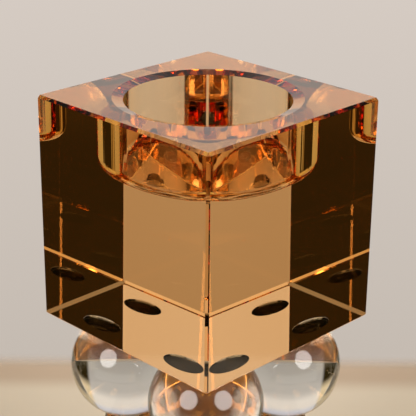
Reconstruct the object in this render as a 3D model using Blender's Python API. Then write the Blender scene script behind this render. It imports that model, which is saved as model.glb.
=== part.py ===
"""Crystal tealight holder: two amber glass cubes, turned an eighth of a turn to each other, with four
smoky crystal balls bonded between them and a round recess for a tealight in the upper cube.

Blender 4.5, metres, +Z up. The origin is at the middle of the holder, on the surface it stands on.
The lower cube's sides face along X and Y, and the upper cube's corners point along X and Y.
"""

import math

import bmesh
import bpy
from mathutils import Matrix, Vector

# ---- Driving dimensions (metres) ----

UPPER_SIDE = 0.060
UPPER_HEIGHT = 0.060
UPPER_TURN = math.radians(45.0)
LOWER_SIDE = 0.054
LOWER_HEIGHT = 0.054
EDGE_CHAMFER = 0.0007

RECESS_DIAMETER = 0.042
RECESS_DEPTH = 0.018
RECESS_FILLET = 0.0035
RIM_WIDTH = 0.0028
RIM_DEPTH = 0.0007

BALL_DIAMETER = 0.0294
BALL_CLEARANCE = 0.0006
UPPER_FLAT_DIAMETER = 0.0128
LOWER_FLAT_DIAMETER = 0.010
BALL_COUNT = 4

BOND_INSET = 0.0001
BOND_THICKNESS = 0.0002

PAD_DIAMETER = 0.008
PAD_THICKNESS = 0.0012
PAD_EDGE_DISTANCE = 0.004

# Clearance kept between two pieces that touch on the real object.
GAP = 0.0003

RECESS_SEGMENTS = 48
FILLET_SEGMENTS = 4
BALL_SEGMENTS = 32
BALL_RINGS = 14
DISC_SEGMENTS = 24
SHARP_ANGLE = math.radians(35.0)

# ---- Sizes and places that follow from them ----

PAD_BOTTOM = 0.0
LOWER_BOTTOM = PAD_BOTTOM + PAD_THICKNESS + GAP
LOWER_TOP = LOWER_BOTTOM + LOWER_HEIGHT

BALL_RADIUS = BALL_DIAMETER / 2
UPPER_FLAT_RADIUS = UPPER_FLAT_DIAMETER / 2
LOWER_FLAT_RADIUS = LOWER_FLAT_DIAMETER / 2
UPPER_FLAT_HEIGHT = math.sqrt(BALL_RADIUS**2 - UPPER_FLAT_RADIUS**2)
LOWER_FLAT_HEIGHT = math.sqrt(BALL_RADIUS**2 - LOWER_FLAT_RADIUS**2)
BALL_PITCH = BALL_DIAMETER + BALL_CLEARANCE
BALL_RING_RADIUS = BALL_PITCH / (2 * math.sin(math.pi / BALL_COUNT))

UPPER_BOND_RADIUS = UPPER_FLAT_RADIUS - BOND_INSET
LOWER_BOND_RADIUS = LOWER_FLAT_RADIUS - BOND_INSET
BOND_SPACE = BOND_THICKNESS + 2 * GAP
LOWER_BOND_BOTTOM = LOWER_TOP + GAP
BALL_CENTRE_Z = LOWER_TOP + BOND_SPACE + LOWER_FLAT_HEIGHT
UPPER_BOND_BOTTOM = BALL_CENTRE_Z + UPPER_FLAT_HEIGHT + GAP
UPPER_BOTTOM = BALL_CENTRE_Z + UPPER_FLAT_HEIGHT + BOND_SPACE
UPPER_TOP = UPPER_BOTTOM + UPPER_HEIGHT

RECESS_RADIUS = RECESS_DIAMETER / 2
RIM_RADIUS = RECESS_RADIUS + RIM_WIDTH


# ---- Scene and materials ----


def clear_scene():
    for found in list(bpy.data.objects):
        bpy.data.objects.remove(found, do_unlink=True)


def glass(name, colour, roughness, ior):
    """A clear solid with its own tint."""
    material = bpy.data.materials.new(name)
    material.use_nodes = True
    shader = material.node_tree.nodes["Principled BSDF"]
    shader.inputs["Base Color"].default_value = (*colour, 1.0)
    shader.inputs["Roughness"].default_value = roughness
    shader.inputs["Metallic"].default_value = 0.0
    shader.inputs["IOR"].default_value = ior
    shader.inputs["Transmission Weight"].default_value = 1.0
    material.diffuse_color = (*colour, 1.0)
    return material


def amber_crystal():
    return glass("amber_crystal", (0.80, 0.42, 0.13), 0.0, 1.52)


def smoky_crystal():
    return glass("smoky_crystal", (0.74, 0.72, 0.66), 0.0, 1.52)


def clear_adhesive():
    return glass("clear_adhesive", (0.62, 0.56, 0.44), 0.1, 1.50)


def clear_silicone():
    return glass("clear_silicone", (0.86, 0.87, 0.86), 0.35, 1.41)


# ---- Mesh helpers ----


def add_object(name, mesh, material, location=(0.0, 0.0, 0.0), turn=0.0):
    """Puts a mesh in the scene, turned about Z, with one material."""
    made = bpy.data.objects.new(name, mesh)
    bpy.context.scene.collection.objects.link(made)
    made.location = location
    made.rotation_euler = (0.0, 0.0, turn)
    if material is not None and not mesh.materials:
        mesh.materials.append(material)
    return made


def finish_mesh(bm, name):
    """Turns a bmesh into a mesh whose faces point out."""
    bmesh.ops.recalc_face_normals(bm, faces=bm.faces[:])
    mesh = bpy.data.meshes.new(name)
    bm.to_mesh(mesh)
    bm.free()
    return mesh


def shade_round(mesh):
    mesh.shade_smooth()
    mesh.set_sharp_from_angle(angle=SHARP_ANGLE)


def turned_mesh(name, profile, segments):
    """A closed turned solid. The profile is (radius, height) points from its lower to its upper flat face."""
    bm = bmesh.new()
    rings = []
    for radius, height in profile:
        ring = []
        for step in range(segments):
            angle = 2 * math.pi * step / segments
            ring.append(bm.verts.new((radius * math.cos(angle), radius * math.sin(angle), height)))
        rings.append(ring)
    for low, high in zip(rings, rings[1:]):
        for step in range(segments):
            after = (step + 1) % segments
            bm.faces.new((low[step], low[after], high[after], high[step]))
    bm.faces.new(list(reversed(rings[0])))
    bm.faces.new(rings[-1])
    return finish_mesh(bm, name)


def arc(centre, radius, start, end, steps):
    """Points on an arc in the (radius, height) plane, both ends included."""
    points = []
    for step in range(steps + 1):
        angle = start + (end - start) * step / steps
        points.append((centre[0] + radius * math.cos(angle), centre[1] + radius * math.sin(angle)))
    return points


def block_mesh(name, side, height):
    """A square block standing on Z = 0, with a small polished chamfer on all its edges."""
    bm = bmesh.new()
    place = Matrix.Translation(Vector((0.0, 0.0, height / 2))) @ Matrix.Diagonal((side, side, height, 1.0))
    bmesh.ops.create_cube(bm, size=1.0, matrix=place)
    bmesh.ops.bevel(
        bm,
        geom=bm.edges[:],
        offset=EDGE_CHAMFER,
        offset_type="OFFSET",
        segments=1,
        profile=0.5,
        affect="EDGES",
    )
    return finish_mesh(bm, name)


# ---- The pieces ----


def recess_cutter():
    """The tealight recess with its rounded floor corner and the shallow bevel round its rim."""
    floor = UPPER_HEIGHT - RECESS_DEPTH
    fillet_centre = (RECESS_RADIUS - RECESS_FILLET, floor + RECESS_FILLET)
    fillet = arc(fillet_centre, RECESS_FILLET, -math.pi / 2, 0.0, FILLET_SEGMENTS)
    clear_above = RIM_DEPTH
    bevel_slope = RIM_WIDTH / RIM_DEPTH
    profile = fillet + [
        (RECESS_RADIUS, UPPER_HEIGHT - RIM_DEPTH),
        (RIM_RADIUS + bevel_slope * clear_above, UPPER_HEIGHT + clear_above),
    ]
    cutter = add_object("recess_cutter", turned_mesh("recess_cutter", profile, RECESS_SEGMENTS), None)
    cutter.location = (0.0, 0.0, UPPER_BOTTOM)
    cutter.hide_render = True
    cutter.display_type = "WIRE"
    return cutter


def make_upper_cube(crystal):
    mesh = block_mesh("upper_cube", UPPER_SIDE, UPPER_HEIGHT)
    cube = add_object("upper_cube", mesh, crystal, (0.0, 0.0, UPPER_BOTTOM), UPPER_TURN)
    cut = cube.modifiers.new("tealight_recess", "BOOLEAN")
    cut.operation = "DIFFERENCE"
    cut.solver = "EXACT"
    cut.object = recess_cutter()
    shade_round(mesh)
    return cube


def make_lower_cube(crystal):
    mesh = block_mesh("lower_cube", LOWER_SIDE, LOWER_HEIGHT)
    return add_object("lower_cube", mesh, crystal, (0.0, 0.0, LOWER_BOTTOM))


def ball_places():
    """Where the balls stand: on a ring, one under each corner of the upper cube."""
    places = []
    for number in range(BALL_COUNT):
        angle = 2 * math.pi * number / BALL_COUNT
        places.append((BALL_RING_RADIUS * math.cos(angle), BALL_RING_RADIUS * math.sin(angle)))
    return places


def make_balls(crystal):
    """Solid balls, each ground flat where it is bonded: a wide flat above and a smaller one below."""
    lower_angle = math.atan2(LOWER_FLAT_HEIGHT, LOWER_FLAT_RADIUS)
    upper_angle = math.atan2(UPPER_FLAT_HEIGHT, UPPER_FLAT_RADIUS)
    profile = arc((0.0, 0.0), BALL_RADIUS, -lower_angle, upper_angle, BALL_RINGS)
    mesh = turned_mesh("ball", profile, BALL_SEGMENTS)
    shade_round(mesh)
    for number, (x, y) in enumerate(ball_places(), start=1):
        add_object(f"ball_{number}", mesh, crystal, (x, y, BALL_CENTRE_Z))


def make_bonds(adhesive):
    """The thin adhesive spots between each ball's two flats and the cubes."""
    levels = (
        ("lower", LOWER_BOND_RADIUS, LOWER_BOND_BOTTOM),
        ("upper", UPPER_BOND_RADIUS, UPPER_BOND_BOTTOM),
    )
    for level, radius, bottom in levels:
        mesh = turned_mesh(f"{level}_bond", [(radius, 0.0), (radius, BOND_THICKNESS)], DISC_SEGMENTS)
        shade_round(mesh)
        for number, (x, y) in enumerate(ball_places(), start=1):
            add_object(f"{level}_bond_{number}", mesh, adhesive, (x, y, bottom))


def make_pads(silicone):
    """Low round pads that keep the glass off the table, one near each corner of the lower cube."""
    radius = PAD_DIAMETER / 2
    edge = PAD_THICKNESS / 4
    profile = [(radius - edge, 0.0), (radius, edge), (radius, PAD_THICKNESS - edge), (radius - edge, PAD_THICKNESS)]
    mesh = turned_mesh("pad", profile, DISC_SEGMENTS)
    reach = LOWER_SIDE / 2 - PAD_EDGE_DISTANCE - radius
    corners = ((-1, -1), (1, -1), (1, 1), (-1, 1))
    for number, (along_x, along_y) in enumerate(corners, start=1):
        add_object(f"pad_{number}", mesh, silicone, (along_x * reach, along_y * reach, PAD_BOTTOM))


def main():
    clear_scene()
    amber = amber_crystal()
    make_upper_cube(amber)
    make_lower_cube(amber)
    make_balls(smoky_crystal())
    make_bonds(clear_adhesive())
    make_pads(clear_silicone())


main()
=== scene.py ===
"""Looks for the crystal tealight holder: polished amber cubes, smoky balls, adhesive spots and pads."""

import math

import bmesh
import bpy
from mathutils import Matrix, Vector


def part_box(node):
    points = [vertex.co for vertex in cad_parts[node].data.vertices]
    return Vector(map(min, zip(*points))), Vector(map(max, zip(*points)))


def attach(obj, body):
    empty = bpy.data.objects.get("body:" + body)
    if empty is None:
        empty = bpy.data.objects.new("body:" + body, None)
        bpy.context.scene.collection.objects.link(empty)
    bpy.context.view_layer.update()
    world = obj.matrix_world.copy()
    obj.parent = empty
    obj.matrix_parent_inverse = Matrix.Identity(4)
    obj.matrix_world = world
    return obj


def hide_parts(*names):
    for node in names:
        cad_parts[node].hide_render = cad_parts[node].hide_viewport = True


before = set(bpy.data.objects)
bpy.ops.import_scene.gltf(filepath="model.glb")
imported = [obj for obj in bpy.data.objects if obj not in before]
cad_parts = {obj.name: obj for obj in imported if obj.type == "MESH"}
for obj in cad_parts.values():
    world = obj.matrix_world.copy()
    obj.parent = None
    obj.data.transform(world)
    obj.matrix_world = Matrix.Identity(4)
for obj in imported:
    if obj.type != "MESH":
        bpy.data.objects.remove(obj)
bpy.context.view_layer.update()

# ---- Places and sizes, read from the frame (metres) ----

ROOT = "root"
UPPER_LOW, UPPER_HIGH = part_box("upper_cube")
LOWER_LOW, LOWER_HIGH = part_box("lower_cube")
# ball_1 stands on the X axis, and pad_3 in the corner towards +X and +Y.
BALL_LOW, BALL_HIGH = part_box("ball_1")
UPPER_BOND_LOW, UPPER_BOND_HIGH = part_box("upper_bond_1")
LOWER_BOND_LOW, LOWER_BOND_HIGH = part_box("lower_bond_1")
PAD_LOW, PAD_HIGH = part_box("pad_3")

BALLS = ("ball_1", "ball_2", "ball_3", "ball_4")
PAD_COUNT = 4
SIDE = UPPER_HIGH.z - UPPER_LOW.z
UPPER_TURN = math.radians(45.0)
BALL_RADIUS = 0.0147
BALL_RING = (BALL_LOW.x + BALL_HIGH.x) / 2
UPPER_BOND_RADIUS = (UPPER_BOND_HIGH.x - UPPER_BOND_LOW.x) / 2
LOWER_BOND_RADIUS = (LOWER_BOND_HIGH.x - LOWER_BOND_LOW.x) / 2
BALL_CENTRE_Z = BALL_HIGH.z - math.sqrt(BALL_RADIUS**2 - UPPER_BOND_RADIUS**2)
PAD_PLACE = (PAD_LOW.x + PAD_HIGH.x) / 2
PAD_RADIUS = (PAD_HIGH.x - PAD_LOW.x) / 2

RECESS_RADIUS = 0.021
RECESS_DEPTH = 0.018
RECESS_FILLET = 0.0035
RIM_WIDTH = 0.0028
RIM_DEPTH = 0.0007
EDGE_CHAMFER = 0.0007
# The adhesive's radius at half its height, as a share of its full radius.
BOND_WAIST = 0.985
# How far the recess wall strays from round after polishing.
POLISH_WAVE = 0.000016
# The ripples that make up that wave: how many go round, where each starts (radians) and its share.
RIPPLES = ((31, 0.4, 0.20), (53, 1.9, 0.30), (79, 3.1, 0.30), (101, 5.2, 0.20))
# Left between glass pieces so that no two faces lie in one plane.
HAIRLINE = 0.00002

RECESS_SEGMENTS = 480
FILLET_STEPS = 10
BALL_SEGMENTS = 128
BALL_RINGS = 64
DISC_SEGMENTS = 64
PAD_EDGE_STEPS = 5
# Edges that turn by more than this are shaded sharp.
TURNED_SHARP = math.radians(35.0)
CUBE_SHARP = math.radians(12.0)

# ---- Optical values ----

CRYSTAL_IOR = 1.517
ADHESIVE_IOR = 1.50
# What each metre of glass takes off red, green and blue light.
AMBER_LOSS = (2.7, 11.2, 25.0)
SMOKE_LOSS = (13.0, 13.0, 15.0)
# The adhesive's loss is partly its own slight tint and partly painted shade: it is made strong to darken the
# bonds where shade is seen through them.
ADHESIVE_LOSS_AND_PAINTED_SHADE = (700.0, 760.0, 900.0)
# The share of a volume's density that its strongest loss uses.
STRONGEST_SHARE = 0.95
# The recess wall's stain: its tint on light that crosses the wall, and on light that the wall mirrors.
STAIN_CROSSED = (0.98, 0.79, 0.56)
STAIN_MIRRORED = (0.95, 0.69, 0.25)

SILICONE_COLOUR = (0.80, 0.80, 0.78)
SILICONE_ROUGHNESS = 0.4
SILICONE_IOR = 1.41
SILICONE_CLEARNESS = 0.5


# ---- Mesh helpers ----


def mesh_of(bm, name):
    bmesh.ops.recalc_face_normals(bm, faces=bm.faces[:])
    mesh = bpy.data.meshes.new(name)
    bm.to_mesh(mesh)
    bm.free()
    return mesh


def middle_of(node):
    low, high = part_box(node)
    return (low + high) / 2


def add_piece(name, mesh, material, nodes, location=(0.0, 0.0, 0.0), turn=0.0):
    """A finished piece that rides on the holder and stands for its CAD nodes."""
    mesh.transform(Matrix.Translation(Vector(location)) @ Matrix.Rotation(turn, 4, "Z"))
    piece = bpy.data.objects.new(name, mesh)
    bpy.context.scene.collection.objects.link(piece)
    mesh.materials.clear()
    mesh.materials.append(material)
    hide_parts(*nodes)
    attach(piece, ROOT)
    return piece


def arc(centre, radius, start, end, steps):
    """Points on an arc in the (radius, height) plane, both ends included."""
    points = []
    for step in range(steps + 1):
        angle = start + (end - start) * step / steps
        points.append((centre[0] + radius * math.cos(angle), centre[1] + radius * math.sin(angle)))
    return points


def wave(angle):
    """A fixed uneven ripple round a circle, between about -1 and 1."""
    return sum(share * math.sin(count * angle + start) for count, start, share in RIPPLES)


def turned(name, profile, segments, uneven=0.0, uneven_above=0.0):
    """A closed turned solid from (radius, height) points, lower flat face to upper flat face.

    Above a given height its radius can ripple by an uneven amount.
    """
    bm = bmesh.new()
    rings = []
    for around, height in profile:
        ring = []
        for step in range(segments):
            angle = 2 * math.pi * step / segments
            radius = around + (uneven * wave(angle) if height > uneven_above else 0.0)
            ring.append(bm.verts.new((radius * math.cos(angle), radius * math.sin(angle), height)))
        rings.append(ring)
    for low, high in zip(rings, rings[1:]):
        for step in range(segments):
            after = (step + 1) % segments
            bm.faces.new((low[step], low[after], high[after], high[step]))
    bm.faces.new(list(reversed(rings[0])))
    bm.faces.new(rings[-1])
    mesh = mesh_of(bm, name)
    mesh.shade_smooth()
    mesh.set_sharp_from_angle(angle=TURNED_SHARP)
    return mesh


def block(name, side, height):
    """A block standing on Z = 0 with polished chamfers."""
    bm = bmesh.new()
    place = Matrix.Translation(Vector((0.0, 0.0, height / 2))) @ Matrix.Diagonal((side, side, height, 1.0))
    bmesh.ops.create_cube(bm, size=1.0, matrix=place)
    bmesh.ops.bevel(bm, geom=bm.edges[:], offset=EDGE_CHAMFER, segments=1, profile=0.5, affect="EDGES")
    return mesh_of(bm, name)


def cut_away(mesh, cutter_mesh):
    """The mesh with the cutter's shape taken out of it."""
    body = bpy.data.objects.new("cut_body", mesh)
    cutter = bpy.data.objects.new("cutter", cutter_mesh)
    for made in (body, cutter):
        bpy.context.scene.collection.objects.link(made)
    cut = body.modifiers.new("cut", "BOOLEAN")
    cut.operation = "DIFFERENCE"
    cut.solver = "EXACT"
    cut.object = cutter
    graph = bpy.context.evaluated_depsgraph_get()
    result = bpy.data.meshes.new_from_object(body.evaluated_get(graph))
    for made in (body, cutter):
        bpy.data.objects.remove(made, do_unlink=True)
    return result


# ---- Node helpers ----


def new_material(name):
    material = bpy.data.materials.new(name)
    material.use_nodes = True
    tree = material.node_tree
    return material, tree, tree.nodes["Principled BSDF"], tree.nodes["Material Output"]


def parts_of(tree, vector):
    """The X, Y and Z of a vector."""
    split = tree.nodes.new("ShaderNodeSeparateXYZ")
    tree.links.new(vector, split.inputs["Vector"])
    return split.outputs["X"], split.outputs["Y"], split.outputs["Z"]


def place_parts(tree):
    """The X, Y and Z of the place on the surface, in the world."""
    return parts_of(tree, tree.nodes.new("ShaderNodeNewGeometry").outputs["Position"])


def maths(tree, operation, *values):
    node = tree.nodes.new("ShaderNodeMath")
    node.operation = operation
    for socket, value in zip(node.inputs, values):
        if isinstance(value, (int, float)):
            socket.default_value = value
        else:
            tree.links.new(value, socket)
    return node.outputs["Value"]


def product(tree, first, *others):
    result = first
    for other in others:
        result = maths(tree, "MULTIPLY", result, other)
    return result


def fade(tree, value, low, high, start, end):
    """Goes smoothly from the start to the end as the value goes from low to high."""
    node = tree.nodes.new("ShaderNodeMapRange")
    node.interpolation_type = "SMOOTHSTEP"
    tree.links.new(value, node.inputs["Value"])
    node.inputs["From Min"].default_value = low
    node.inputs["From Max"].default_value = high
    node.inputs["To Min"].default_value = start
    node.inputs["To Max"].default_value = end
    return node.outputs["Result"]


def fade_in(tree, value, band):
    return fade(tree, value, *band, 0.0, 1.0)


def fade_out(tree, value, band):
    return fade(tree, value, *band, 1.0, 0.0)


def mix_colour(tree, factor, first, second):
    """The first colour where the factor is 0 and the second where it is 1."""
    node = tree.nodes.new("ShaderNodeMix")
    node.data_type = "RGBA"
    for name, value in (("Factor", factor), ("A", first), ("B", second)):
        socket = node.inputs[name]
        if isinstance(value, (int, float)):
            socket.default_value = value
        elif isinstance(value, tuple):
            socket.default_value = (*value, 1.0)
        else:
            tree.links.new(value, socket)
    return node.outputs["Result"]


# ---- Materials ----


def soak(tree, output, loss):
    """Makes the tint grow with the length of the light's way through the glass."""
    volume = tree.nodes.new("ShaderNodeVolumeAbsorption")
    density = max(loss) / STRONGEST_SHARE
    volume.inputs["Color"].default_value = (*[1.0 - part / density for part in loss], 1.0)
    volume.inputs["Density"].default_value = density
    tree.links.new(volume.outputs["Volume"], output.inputs["Volume"])


def bonded(tree, shader, ior, contacts):
    """Where a face is bonded to its neighbour there is no air, so light passes it without bending.

    A contact is a round spot: how far out it is along X or Y, how far along the other, its radius and
    its height. The spots repeat in all four directions.
    """
    x, y, z = place_parts(tree)
    across_x = maths(tree, "ABSOLUTE", x)
    across_y = maths(tree, "ABSOLUTE", y)
    far = maths(tree, "MAXIMUM", across_x, across_y)
    near = maths(tree, "MINIMUM", across_x, across_y)
    masks = []
    for centre_far, centre_near, radius, height in contacts:
        off_far = maths(tree, "SUBTRACT", far, centre_far)
        off_near = maths(tree, "SUBTRACT", near, centre_near)
        square = maths(tree, "ADD", product(tree, off_far, off_far), product(tree, off_near, off_near))
        inside = maths(tree, "LESS_THAN", square, radius**2)
        off_height = maths(tree, "ABSOLUTE", maths(tree, "SUBTRACT", z, height))
        level = maths(tree, "LESS_THAN", off_height, HAIRLINE)
        masks.append(product(tree, inside, level))
    mask = masks[0]
    for other in masks[1:]:
        mask = maths(tree, "MAXIMUM", mask, other)
    bend = maths(tree, "SUBTRACT", ior, product(tree, mask, ior - 1.0))
    tree.links.new(bend, shader.inputs["IOR"])


def glass(name, loss, ior, contacts):
    """Clear polished glass, bonded to its neighbours at the contacts."""
    material, tree, shader, output = new_material(name)
    shader.inputs["Base Color"].default_value = (1.0, 1.0, 1.0, 1.0)
    shader.inputs["Roughness"].default_value = 0.0
    shader.inputs["IOR"].default_value = ior
    shader.inputs["Transmission Weight"].default_value = 1.0
    soak(tree, output, loss)
    bonded(tree, shader, ior, contacts)
    return material


def amber_upper():
    contacts = [(BALL_RING, 0.0, UPPER_BOND_RADIUS, UPPER_LOW.z)]
    return glass("amber_crystal_upper", AMBER_LOSS, CRYSTAL_IOR, contacts)


def amber_recess():
    """The recess wall's glass: the same crystal with a deeper stain in its skin."""
    material, tree, shader, output = new_material("amber_crystal_recess")
    tree.nodes.remove(shader)
    shader = tree.nodes.new("ShaderNodeBsdfGlass")
    shader.inputs["Roughness"].default_value = 0.0
    shader.inputs["IOR"].default_value = CRYSTAL_IOR
    tree.links.new(shader.outputs["BSDF"], output.inputs["Surface"])
    fresnel = tree.nodes.new("ShaderNodeFresnel")
    fresnel.inputs["IOR"].default_value = CRYSTAL_IOR
    stain = mix_colour(tree, fresnel.outputs["Fac"], STAIN_CROSSED, STAIN_MIRRORED)
    tree.links.new(stain, shader.inputs["Color"])
    soak(tree, output, AMBER_LOSS)
    return material


def amber_lower():
    contacts = [
        (BALL_RING, 0.0, LOWER_BOND_RADIUS, LOWER_HIGH.z),
        (PAD_PLACE, PAD_PLACE, PAD_RADIUS, LOWER_LOW.z),
    ]
    return glass("amber_crystal_lower", AMBER_LOSS, CRYSTAL_IOR, contacts)


def smoky():
    contacts = [
        (BALL_RING, 0.0, UPPER_BOND_RADIUS, BALL_HIGH.z),
        (BALL_RING, 0.0, LOWER_BOND_RADIUS, BALL_LOW.z),
    ]
    return glass("smoky_crystal", SMOKE_LOSS, CRYSTAL_IOR, contacts)


def adhesive():
    contacts = [
        (BALL_RING, 0.0, UPPER_BOND_RADIUS, UPPER_LOW.z - HAIRLINE),
        (BALL_RING, 0.0, UPPER_BOND_RADIUS, BALL_HIGH.z + HAIRLINE),
        (BALL_RING, 0.0, LOWER_BOND_RADIUS, BALL_LOW.z - HAIRLINE),
        (BALL_RING, 0.0, LOWER_BOND_RADIUS, LOWER_HIGH.z + HAIRLINE),
    ]
    # The bonds' strong loss is partly painted shade, darkening them where shade is seen through.
    return glass("clear_adhesive", ADHESIVE_LOSS_AND_PAINTED_SHADE, ADHESIVE_IOR, contacts)


def silicone():
    material, _, shader, _ = new_material("clear_silicone")
    shader.inputs["Base Color"].default_value = (*SILICONE_COLOUR, 1.0)
    shader.inputs["Roughness"].default_value = SILICONE_ROUGHNESS
    shader.inputs["IOR"].default_value = SILICONE_IOR
    shader.inputs["Transmission Weight"].default_value = SILICONE_CLEARNESS
    return material


# ---- Pieces ----


def recess_profile():
    """The recess's rounded floor corner, upright wall and rim bevel, which runs on past the top face."""
    centre = (RECESS_RADIUS - RECESS_FILLET, SIDE - RECESS_DEPTH + RECESS_FILLET)
    return arc(centre, RECESS_FILLET, -math.pi / 2, 0.0, FILLET_STEPS) + [
        (RECESS_RADIUS, SIDE - RIM_DEPTH),
        (RECESS_RADIUS + 2 * RIM_WIDTH, SIDE + RIM_DEPTH),
    ]


def make_upper_cube():
    """The upper cube. Its recess ripples from half way up the floor corner, stained from there to the rim."""
    wall_low = SIDE - RECESS_DEPTH + RECESS_FILLET / 2
    wall_high = SIDE - RIM_DEPTH
    cutter = turned("recess", recess_profile(), RECESS_SEGMENTS, uneven=POLISH_WAVE, uneven_above=wall_low)
    mesh = cut_away(block("upper_cube", SIDE, SIDE), cutter)
    mesh.shade_smooth()
    mesh.set_sharp_from_angle(angle=CUBE_SHARP)
    low = (0.0, 0.0, UPPER_LOW.z)
    add_piece("amber_upper_cube", mesh, amber_upper(), ["upper_cube"], low, UPPER_TURN)
    mesh.materials.append(amber_recess())
    stained = len(mesh.materials) - 1
    for face in mesh.polygons:
        beside = math.hypot(face.center.x, face.center.y)
        height = face.center.z - UPPER_LOW.z
        if beside < RECESS_RADIUS + 2 * POLISH_WAVE and wall_low < height < wall_high:
            face.material_index = stained


def make_lower_cube():
    mesh = block("lower_cube", LOWER_HIGH.x - LOWER_LOW.x, LOWER_HIGH.z - LOWER_LOW.z)
    low = (0.0, 0.0, LOWER_LOW.z)
    add_piece("amber_lower_cube", mesh, amber_lower(), ["lower_cube"], low)


def make_balls():
    material = smoky()
    below = -math.asin((BALL_CENTRE_Z - BALL_LOW.z) / BALL_RADIUS)
    above = math.asin((BALL_HIGH.z - BALL_CENTRE_Z) / BALL_RADIUS)
    profile = arc((0.0, 0.0), BALL_RADIUS, below, above, BALL_RINGS)
    for number, node in enumerate(BALLS, start=1):
        mesh = turned(f"crystal_{node}", profile, BALL_SEGMENTS)
        middle = middle_of(node)
        place = (middle.x, middle.y, BALL_CENTRE_Z)
        add_piece(f"crystal_ball_{number}", mesh, material, [node], place)


def make_bonds():
    """Adhesive that fills each joint but for a hairline, and draws in a little at half its height."""
    material = adhesive()
    levels = (
        ("upper", UPPER_BOND_RADIUS, BALL_HIGH.z + HAIRLINE, UPPER_LOW.z - HAIRLINE),
        ("lower", LOWER_BOND_RADIUS, LOWER_HIGH.z + HAIRLINE, BALL_LOW.z - HAIRLINE),
    )
    for level, radius, bottom, top in levels:
        profile = [(radius, 0.0), (radius * BOND_WAIST, (top - bottom) / 2), (radius, top - bottom)]
        for number, node in enumerate(BALLS, start=1):
            mesh = turned(f"{level}_bond", profile, DISC_SEGMENTS)
            middle = middle_of(node)
            place = (middle.x, middle.y, bottom)
            name = f"{level}_bond_{number}"
            add_piece(f"adhesive_{name}", mesh, material, [name], place)


def make_pads():
    """Low round pads with rounded edges."""
    material = silicone()
    for number in range(1, PAD_COUNT + 1):
        node = f"pad_{number}"
        low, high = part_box(node)
        radius = (high.x - low.x) / 2
        height = high.z - low.z
        edge = height / 4
        profile = arc((radius - edge, edge), edge, -math.pi / 2, 0.0, PAD_EDGE_STEPS)
        profile += arc((radius - edge, height - edge), edge, 0.0, math.pi / 2, PAD_EDGE_STEPS)
        mesh = turned("pad", profile, DISC_SEGMENTS)
        middle = middle_of(node)
        place = (middle.x, middle.y, low.z)
        add_piece(f"silicone_{node}", mesh, material, [node], place)


# ---- Floor ----

FLOOR_REACH = 3.0 * SIDE
FLOOR_FRONT = -3.5 * SIDE
FLOOR_BACK = 1.85 * SIDE
BACK_BAND_END = 2.14 * SIDE
EDGE_BLUR = 0.10 * SIDE
FLOOR_CREAM = (0.68, 0.59, 0.46)
# The colour of a band along the back of the floor, darker than the rest.
BACK_BAND_TAN = (0.52, 0.40, 0.29)
FLOOR_ROUGHNESS = 0.7
FLOOR_SHINE = 0.2


def blurred(edge):
    """The band in which an edge of the floor fades."""
    return (edge - EDGE_BLUR, edge + EDGE_BLUR)


def make_floor():
    """A pale table top that turns a darker tan in a band along its back, fading out softly at its borders."""
    front = FLOOR_FRONT - EDGE_BLUR
    back = BACK_BAND_END + EDGE_BLUR
    corners = ((-FLOOR_REACH, front), (FLOOR_REACH, front), (FLOOR_REACH, back), (-FLOOR_REACH, back))
    bm = bmesh.new()
    bm.faces.new([bm.verts.new((x, y, 0.0)) for x, y in corners])
    floor = bpy.data.objects.new("floor", mesh_of(bm, "floor"))
    bpy.context.scene.collection.objects.link(floor)
    material, tree, shader, _ = new_material("pale_floor")
    shader.inputs["Roughness"].default_value = FLOOR_ROUGHNESS
    shader.inputs["Specular IOR Level"].default_value = FLOOR_SHINE
    x, y, _ = place_parts(tree)
    behind = fade_in(tree, y, blurred(FLOOR_BACK))
    tree.links.new(mix_colour(tree, behind, FLOOR_CREAM, BACK_BAND_TAN), shader.inputs["Base Color"])
    far = fade_out(tree, y, blurred(BACK_BAND_END))
    near = fade_in(tree, y, blurred(FLOOR_FRONT))
    beside = fade_out(tree, maths(tree, "ABSOLUTE", x), (FLOOR_REACH - 2 * EDGE_BLUR, FLOOR_REACH))
    tree.links.new(product(tree, far, near, beside), shader.inputs["Alpha"])
    floor.data.materials.append(material)


# ---- Light ----

WALL_HIGH = (0.675, 0.605, 0.550)
WALL_LOW = (0.545, 0.485, 0.428)
WALL_ABOVE = (1.10, 0.98, 0.87)
SKY = (0.92, 0.92, 1.02)
SIDE_GLOW = (1.00, 0.76, 0.45)
FRONT_GLOW = (0.95, 0.92, 0.80)
OVERHEAD = (0.38, 0.36, 0.32)
DARK = (0.032, 0.021, 0.006)
SLIT = (0.50, 0.38, 0.24)
SOFTBOX = (9.0, 8.7, 8.4)
# Azimuth from straight behind the holder, height above level, and half width (degrees).
SOFTBOX_AZIMUTH = 140.0
SOFTBOX_HEIGHT = 28.0
SOFTBOX_REACH = 18.0
# Half the width of a softbox's soft edge, as a cosine.
SOFTBOX_BLUR = 0.012

# The room is painted by direction, a vector one unit long, where X is sideways, Y backwards and Z upward.
# Each band is where one part of the room fades into the next. These go by Z.
WALL_BAND = (-0.50, -0.20)
LIT_BAND = (-0.12, 0.12)
SKY_BAND = (0.25, 0.48)
OVERHEAD_BAND = (0.54, 0.68)
SIDE_GLOW_RISES = (-0.20, 0.0)
SIDE_GLOW_FALLS = (0.28, 0.40)
SLIT_TOP = (-0.20, 0.0)
FRONT_GLOW_RISES = (-0.34, -0.24)
FRONT_GLOW_FALLS = (-0.05, 0.10)
# These go by Y.
SLIT_NEAR = (0.13, 0.19)
SLIT_FAR = (0.24, 0.30)
FRONT_BAND = (-0.55, -0.35)
# This goes by X to either side.
SIDE_BAND = (0.44, 0.52)


def plain_wall(tree, upward):
    """The wall as the camera sees it, a little darker low down."""
    node = tree.nodes.new("ShaderNodeMapRange")
    tree.links.new(upward, node.inputs["Value"])
    node.inputs["From Min"].default_value = WALL_BAND[0]
    node.inputs["From Max"].default_value = WALL_BAND[1]
    return mix_colour(tree, node.outputs["Result"], WALL_LOW, WALL_HIGH)


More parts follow.
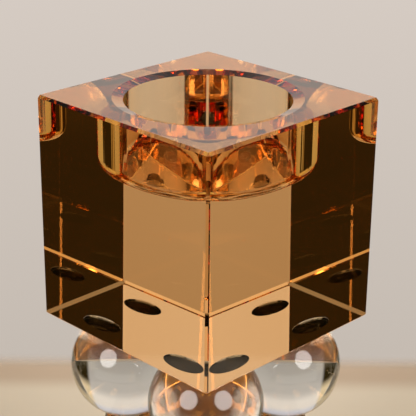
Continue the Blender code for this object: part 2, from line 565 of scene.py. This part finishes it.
def room_behind(tree, wall, upward):
    """The wall, brighter from eye level up, with the bright window over it."""
    lit = mix_colour(tree, fade_in(tree, upward, LIT_BAND), wall, WALL_ABOVE)
    return mix_colour(tree, fade_in(tree, upward, SKY_BAND), lit, SKY)


def room_beside(tree, backward, upward):
    """Dark, with a warm glow at eye level and a dim slit of light low down by the wall."""
    rising = fade_in(tree, upward, SIDE_GLOW_RISES)
    falling = fade_out(tree, upward, SIDE_GLOW_FALLS)
    glowing = mix_colour(tree, product(tree, rising, falling), DARK, SIDE_GLOW)
    far = fade_out(tree, backward, SLIT_FAR)
    near = fade_in(tree, backward, SLIT_NEAR)
    low = fade_out(tree, upward, SLIT_TOP)
    return mix_colour(tree, product(tree, far, near, low), glowing, SLIT)


def room_in_front(tree, upward):
    """Dark, with a pale glow a little below eye level."""
    rising = fade_in(tree, upward, FRONT_GLOW_RISES)
    falling = fade_out(tree, upward, FRONT_GLOW_FALLS)
    return mix_colour(tree, product(tree, rising, falling), DARK, FRONT_GLOW)


def softboxes(tree, sideways, backward, upward):
    """1 inside the two round softboxes, one to each side in front, and 0 elsewhere."""
    toward = tree.nodes.new("ShaderNodeCombineXYZ")
    for part, socket in ((sideways, "X"), (backward, "Y"), (upward, "Z")):
        tree.links.new(part, toward.inputs[socket])
    azimuth = math.radians(SOFTBOX_AZIMUTH)
    tilt = math.radians(SOFTBOX_HEIGHT)
    aim = tree.nodes.new("ShaderNodeVectorMath")
    aim.operation = "DOT_PRODUCT"
    tree.links.new(toward.outputs["Vector"], aim.inputs[0])
    aim.inputs[1].default_value = (
        math.sin(azimuth) * math.cos(tilt),
        math.cos(azimuth) * math.cos(tilt),
        math.sin(tilt),
    )
    edge = math.cos(math.radians(SOFTBOX_REACH))
    return fade_in(tree, aim.outputs["Value"], (edge - SOFTBOX_BLUR, edge + SOFTBOX_BLUR))


def make_light():
    """A room that lights the glass from all round, of which the camera itself sees only the plain wall.

    Behind is a pale wall with a bright window over it. The sides and the front are dark with glows, two
    softboxes stand in front, and overhead it is dim.
    """
    world = bpy.data.worlds.new("studio")
    bpy.context.scene.world = world
    world.use_nodes = True
    tree = world.node_tree
    toward = tree.nodes.new("ShaderNodeTexCoord").outputs["Generated"]
    across, backward, upward = parts_of(tree, toward)
    sideways = maths(tree, "ABSOLUTE", across)

    wall = plain_wall(tree, upward)
    room = room_behind(tree, wall, upward)
    room = mix_colour(tree, fade_in(tree, sideways, SIDE_BAND), room, room_beside(tree, backward, upward))
    room = mix_colour(tree, fade_out(tree, backward, FRONT_BAND), room, room_in_front(tree, upward))
    room = mix_colour(tree, fade_in(tree, upward, OVERHEAD_BAND), room, OVERHEAD)
    room = mix_colour(tree, softboxes(tree, sideways, backward, upward), room, SOFTBOX)

    straight = tree.nodes.new("ShaderNodeLightPath").outputs["Is Camera Ray"]
    shown = mix_colour(tree, straight, room, wall)
    tree.links.new(shown, tree.nodes["Background"].inputs["Color"])


# ---- Camera and settings ----

# The camera's place in cube sides from the middle of the upper cube's underside, and its turns in degrees.
CAMERA_AWAY = (-0.022, -5.212, 2.613)
CAMERA_YAW = -0.28
CAMERA_PITCH = 22.03
CAMERA_ROLL = 0.54
# Millimetres.
CAMERA_SENSOR = 36.0
CAMERA_LENS = 114.6

GLASS_BOUNCES = 32
GLOSSY_BOUNCES = 16


def make_camera():
    """The photograph's viewpoint."""
    yaw = math.radians(CAMERA_YAW)
    pitch = math.radians(CAMERA_PITCH)
    roll = math.radians(CAMERA_ROLL)
    right = Vector((math.cos(yaw), math.sin(yaw), 0.0))
    ahead = Vector((-math.sin(yaw) * math.cos(pitch), math.cos(yaw) * math.cos(pitch), -math.sin(pitch)))
    up = right.cross(ahead)
    rolled_right = math.cos(roll) * right + math.sin(roll) * up
    rolled_up = math.cos(roll) * up - math.sin(roll) * right
    data = bpy.data.cameras.new("camera")
    data.sensor_width = CAMERA_SENSOR
    data.lens = CAMERA_LENS
    camera = bpy.data.objects.new("camera", data)
    bpy.context.scene.collection.objects.link(camera)
    camera.location = Vector(CAMERA_AWAY) * SIDE + Vector((0.0, 0.0, UPPER_LOW.z))
    camera.rotation_euler = Matrix((rolled_right, rolled_up, -ahead)).transposed().to_euler()
    bpy.context.scene.camera = camera


def make_settings():
    """Glass needs long light paths, and colours are shown as they are."""
    scene = bpy.context.scene
    scene.cycles.max_bounces = GLASS_BOUNCES
    scene.cycles.transmission_bounces = GLASS_BOUNCES
    scene.cycles.glossy_bounces = GLOSSY_BOUNCES
    scene.cycles.transparent_max_bounces = GLASS_BOUNCES
    scene.view_settings.view_transform = "Standard"


make_camera()
make_upper_cube()
make_lower_cube()
make_balls()
make_bonds()
make_pads()
make_floor()
make_light()
make_settings()
